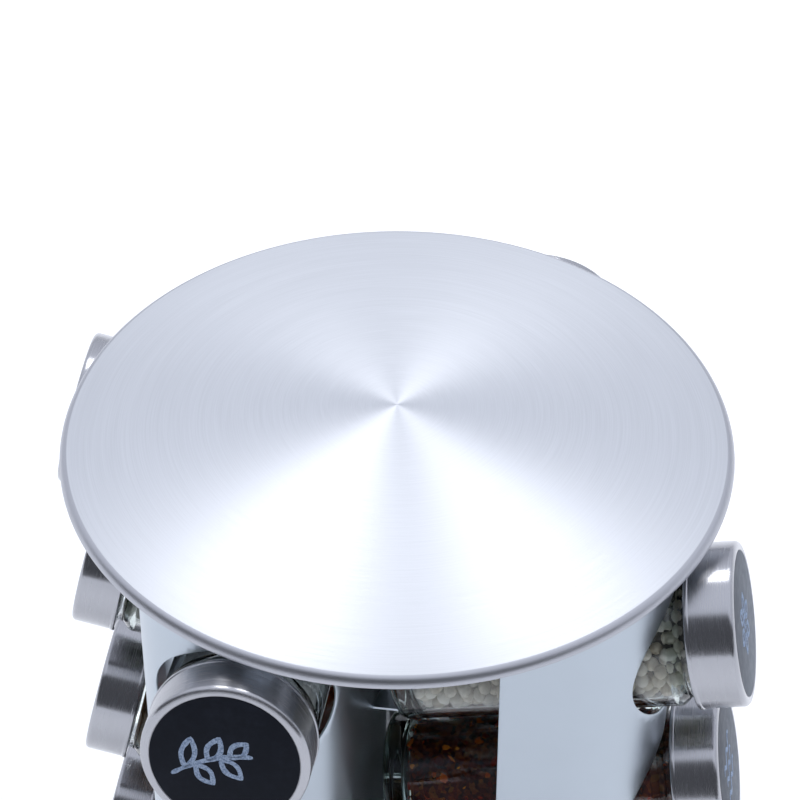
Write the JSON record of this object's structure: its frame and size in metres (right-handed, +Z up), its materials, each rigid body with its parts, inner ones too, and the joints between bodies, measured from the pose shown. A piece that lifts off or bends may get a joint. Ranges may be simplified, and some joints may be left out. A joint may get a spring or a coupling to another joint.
{
  "type": "revolving spice carousel",
  "caption": "Revolving spice rack: bent steel panels in a pinwheel hold tilted, lidded glass jars between a turning floor and a domed top disc.",
  "frame": {"origin": "on the table, on the axis that the tower turns about", "axes": "+Z up along the turning axis; the front column of jars points to -Y and the right column to +X"},
  "size_m": [0.2232, 0.2232, 0.301],
  "materials": {
    "disc_steel": "turned brushing in fine rings, satin",
    "panel_steel": "polished satin",
    "lid_steel": "brushed round the lid",
    "base_steel": "satin",
    "bearing_steel": "zinc plated",
    "jar_glass": "clear, faint green at the edges",
    "sifter_plastic": "semi-matte",
    "foot_rubber": "matte",
    "label_black": "matte chalk label",
    "chalk": "dry chalk",
    "spice": "dry spices, one colour for each jar"
  },
  "bodies": {
    "base": {"base_shell": "base_steel", "foot_ring": "foot_rubber", "bearing_lower_race": "bearing_steel", "bearing_ball_ring": "bearing_steel"},
    "carousel": {"bearing_upper_race": "bearing_steel", "carousel_floor": "base_steel", "centre_rod": "bearing_steel", "top_disc": "disc_steel", "right_panel": "panel_steel", "front_panel": "panel_steel", "left_panel": "panel_steel", "back_panel": "panel_steel"},
    "right_1_jar": {"right_jar_1": "jar_glass", "right_sifter_1": "sifter_plastic"},
    "right_1_lid": {"right_lid_1": "lid_steel"},
    "right_2_jar": {"right_jar_2": "jar_glass", "right_sifter_2": "sifter_plastic"},
    "right_2_lid": {"right_lid_2": "lid_steel"},
    "right_3_jar": {"right_jar_3": "jar_glass", "right_sifter_3": "sifter_plastic"},
    "right_3_lid": {"right_lid_3": "lid_steel"},
    "right_4_jar": {"right_jar_4": "jar_glass", "right_sifter_4": "sifter_plastic"},
    "right_4_lid": {"right_lid_4": "lid_steel"},
    "front_1_jar": {"front_jar_1": "jar_glass", "front_sifter_1": "sifter_plastic"},
    "front_1_lid": {"front_lid_1": "lid_steel"},
    "front_2_jar": {"front_jar_2": "jar_glass", "front_sifter_2": "sifter_plastic"},
    "front_2_lid": {"front_lid_2": "lid_steel"},
    "front_3_jar": {"front_jar_3": "jar_glass", "front_sifter_3": "sifter_plastic"},
    "front_3_lid": {"front_lid_3": "lid_steel"},
    "front_4_jar": {"front_jar_4": "jar_glass", "front_sifter_4": "sifter_plastic"},
    "front_4_lid": {"front_lid_4": "lid_steel"},
    "left_1_jar": {"left_jar_1": "jar_glass", "left_sifter_1": "sifter_plastic"},
    "left_1_lid": {"left_lid_1": "lid_steel"},
    "left_2_jar": {"left_jar_2": "jar_glass", "left_sifter_2": "sifter_plastic"},
    "left_2_lid": {"left_lid_2": "lid_steel"},
    "left_3_jar": {"left_jar_3": "jar_glass", "left_sifter_3": "sifter_plastic"},
    "left_3_lid": {"left_lid_3": "lid_steel"},
    "left_4_jar": {"left_jar_4": "jar_glass", "left_sifter_4": "sifter_plastic"},
    "left_4_lid": {"left_lid_4": "lid_steel"},
    "back_1_jar": {"back_jar_1": "jar_glass", "back_sifter_1": "sifter_plastic"},
    "back_1_lid": {"back_lid_1": "lid_steel"},
    "back_2_jar": {"back_jar_2": "jar_glass", "back_sifter_2": "sifter_plastic"},
    "back_2_lid": {"back_lid_2": "lid_steel"},
    "back_3_jar": {"back_jar_3": "jar_glass", "back_sifter_3": "sifter_plastic"},
    "back_3_lid": {"back_lid_3": "lid_steel"},
    "back_4_jar": {"back_jar_4": "jar_glass", "back_sifter_4": "sifter_plastic"},
    "back_4_lid": {"back_lid_4": "lid_steel"}
  },
  "joints": [
    {"name": "carousel_spin", "type": "hinge", "parent": "base", "child": "carousel", "pos_m": [0, 0, 0.0183], "axis": [0, 0, 1], "continuous": true},
    {"name": "right_1_jar_out", "type": "slide", "parent": "carousel", "child": "right_1_jar", "axis": [0.9763, 0, 0.2164], "range_m": [0, 0.115]},
    {"name": "right_1_lid_off", "type": "slide", "parent": "right_1_jar", "child": "right_1_lid", "axis": [0.9763, 0, 0.2164], "range_m": [0, 0.03]},
    {"name": "right_2_jar_out", "type": "slide", "parent": "carousel", "child": "right_2_jar", "axis": [0.9763, 0, 0.2164], "range_m": [0, 0.115]},
    {"name": "right_2_lid_off", "type": "slide", "parent": "right_2_jar", "child": "right_2_lid", "axis": [0.9763, 0, 0.2164], "range_m": [0, 0.03]},
    {"name": "right_3_jar_out", "type": "slide", "parent": "carousel", "child": "right_3_jar", "axis": [0.9763, 0, 0.2164], "range_m": [0, 0.115]},
    {"name": "right_3_lid_off", "type": "slide", "parent": "right_3_jar", "child": "right_3_lid", "axis": [0.9763, 0, 0.2164], "range_m": [0, 0.03]},
    {"name": "right_4_jar_out", "type": "slide", "parent": "carousel", "child": "right_4_jar", "axis": [0.9763, 0, 0.2164], "range_m": [0, 0.115]},
    {"name": "right_4_lid_off", "type": "slide", "parent": "right_4_jar", "child": "right_4_lid", "axis": [0.9763, 0, 0.2164], "range_m": [0, 0.03]},
    {"name": "front_1_jar_out", "type": "slide", "parent": "carousel", "child": "front_1_jar", "axis": [0, -0.9763, 0.2164], "range_m": [0, 0.115]},
    {"name": "front_1_lid_off", "type": "slide", "parent": "front_1_jar", "child": "front_1_lid", "axis": [0, -0.9763, 0.2164], "range_m": [0, 0.03]},
    {"name": "front_2_jar_out", "type": "slide", "parent": "carousel", "child": "front_2_jar", "axis": [0, -0.9763, 0.2164], "range_m": [0, 0.115]},
    {"name": "front_2_lid_off", "type": "slide", "parent": "front_2_jar", "child": "front_2_lid", "axis": [0, -0.9763, 0.2164], "range_m": [0, 0.03]},
    {"name": "front_3_jar_out", "type": "slide", "parent": "carousel", "child": "front_3_jar", "axis": [0, -0.9763, 0.2164], "range_m": [0, 0.115]},
    {"name": "front_3_lid_off", "type": "slide", "parent": "front_3_jar", "child": "front_3_lid", "axis": [0, -0.9763, 0.2164], "range_m": [0, 0.03]},
    {"name": "front_4_jar_out", "type": "slide", "parent": "carousel", "child": "front_4_jar", "axis": [0, -0.9763, 0.2164], "range_m": [0, 0.115]},
    {"name": "front_4_lid_off", "type": "slide", "parent": "front_4_jar", "child": "front_4_lid", "axis": [0, -0.9763, 0.2164], "range_m": [0, 0.03]},
    {"name": "left_1_jar_out", "type": "slide", "parent": "carousel", "child": "left_1_jar", "axis": [-0.9763, 0, 0.2164], "range_m": [0, 0.115]},
    {"name": "left_1_lid_off", "type": "slide", "parent": "left_1_jar", "child": "left_1_lid", "axis": [-0.9763, 0, 0.2164], "range_m": [0, 0.03]},
    {"name": "left_2_jar_out", "type": "slide", "parent": "carousel", "child": "left_2_jar", "axis": [-0.9763, 0, 0.2164], "range_m": [0, 0.115]},
    {"name": "left_2_lid_off", "type": "slide", "parent": "left_2_jar", "child": "left_2_lid", "axis": [-0.9763, 0, 0.2164], "range_m": [0, 0.03]},
    {"name": "left_3_jar_out", "type": "slide", "parent": "carousel", "child": "left_3_jar", "axis": [-0.9763, 0, 0.2164], "range_m": [0, 0.115]},
    {"name": "left_3_lid_off", "type": "slide", "parent": "left_3_jar", "child": "left_3_lid", "axis": [-0.9763, 0, 0.2164], "range_m": [0, 0.03]},
    {"name": "left_4_jar_out", "type": "slide", "parent": "carousel", "child": "left_4_jar", "axis": [-0.9763, 0, 0.2164], "range_m": [0, 0.115]},
    {"name": "left_4_lid_off", "type": "slide", "parent": "left_4_jar", "child": "left_4_lid", "axis": [-0.9763, 0, 0.2164], "range_m": [0, 0.03]},
    {"name": "back_1_jar_out", "type": "slide", "parent": "carousel", "child": "back_1_jar", "axis": [0, 0.9763, 0.2164], "range_m": [0, 0.115]},
    {"name": "back_1_lid_off", "type": "slide", "parent": "back_1_jar", "child": "back_1_lid", "axis": [0, 0.9763, 0.2164], "range_m": [0, 0.03]},
    {"name": "back_2_jar_out", "type": "slide", "parent": "carousel", "child": "back_2_jar", "axis": [0, 0.9763, 0.2164], "range_m": [0, 0.115]},
    {"name": "back_2_lid_off", "type": "slide", "parent": "back_2_jar", "child": "back_2_lid", "axis": [0, 0.9763, 0.2164], "range_m": [0, 0.03]},
    {"name": "back_3_jar_out", "type": "slide", "parent": "carousel", "child": "back_3_jar", "axis": [0, 0.9763, 0.2164], "range_m": [0, 0.115]},
    {"name": "back_3_lid_off", "type": "slide", "parent": "back_3_jar", "child": "back_3_lid", "axis": [0, 0.9763, 0.2164], "range_m": [0, 0.03]},
    {"name": "back_4_jar_out", "type": "slide", "parent": "carousel", "child": "back_4_jar", "axis": [0, 0.9763, 0.2164], "range_m": [0, 0.115]},
    {"name": "back_4_lid_off", "type": "slide", "parent": "back_4_jar", "child": "back_4_lid", "axis": [0, 0.9763, 0.2164], "range_m": [0, 0.03]}
  ]
}
